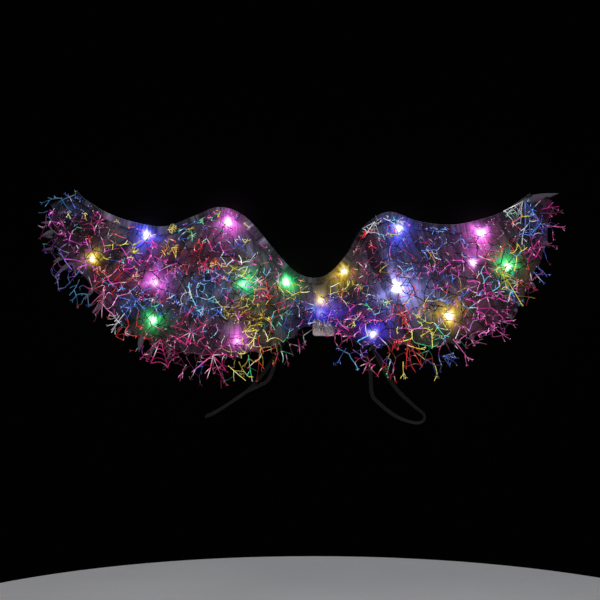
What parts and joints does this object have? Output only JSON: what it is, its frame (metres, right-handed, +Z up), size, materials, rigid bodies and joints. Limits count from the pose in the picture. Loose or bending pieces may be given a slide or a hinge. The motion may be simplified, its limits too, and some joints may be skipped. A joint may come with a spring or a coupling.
{
  "type": "light-up costume wings",
  "caption": "Costume wings of pleated black organza on a bent wire, with gathered web tulle, ragged foil fringe, coloured lights, a battery case and elastic shoulder loops.",
  "frame": {"origin": "in the panel between the two wings, below the neck scoop, where the wings lie against the wearer's back", "axes": "+Z up as worn, +X to the right seen from the decorated face, +Y towards the wearer"},
  "size_m": [0.7825, 0.0943, 0.3512],
  "materials": {
    "organza": "sheer woven cloth, pleated",
    "web_tulle": "soft net",
    "web_foil": "metallic rainbow foil threads",
    "coated_wire": "black coating",
    "lead_wire": "dark enamel",
    "lens_blue": "clear resin drop, lit",
    "lens_green": "clear resin drop, lit",
    "lens_pink": "clear resin drop, lit",
    "lens_yellow": "clear resin drop, lit",
    "lens_white": "clear resin drop, lit",
    "case_plastic": "moulded, satin",
    "elastic": "woven elastic"
  },
  "bodies": {
    "root": {"organza_panel": "organza", "frame_wire": "coated_wire", "ruffle_top_left": "web_tulle", "ruffle_mid_left": "web_tulle", "ruffle_low_left": "web_tulle", "ruffle_top_right": "web_tulle", "ruffle_mid_right": "web_tulle", "ruffle_low_right": "web_tulle", "light_lead_left": "lead_wire", "light_lead_right": "lead_wire", "led_01_green": "lens_green", "led_02_green": "lens_green", "led_03_pink": "lens_pink", "led_04_blue": "lens_blue", "led_05_yellow": "lens_yellow", "led_06_pink": "lens_pink", "led_07_green": "lens_green", "led_08_pink": "lens_pink", "led_09_blue": "lens_blue", "led_10_yellow": "lens_yellow", "led_11_yellow": "lens_yellow", "led_12_blue": "lens_blue", "led_13_white": "lens_white", "led_14_blue": "lens_blue", "led_15_yellow": "lens_yellow", "led_16_green": "lens_green", "led_17_white": "lens_white", "led_18_pink": "lens_pink", "battery_case": "case_plastic", "shoulder_loop_left": "elastic", "shoulder_loop_right": "elastic"}
  },
  "joints": []
}
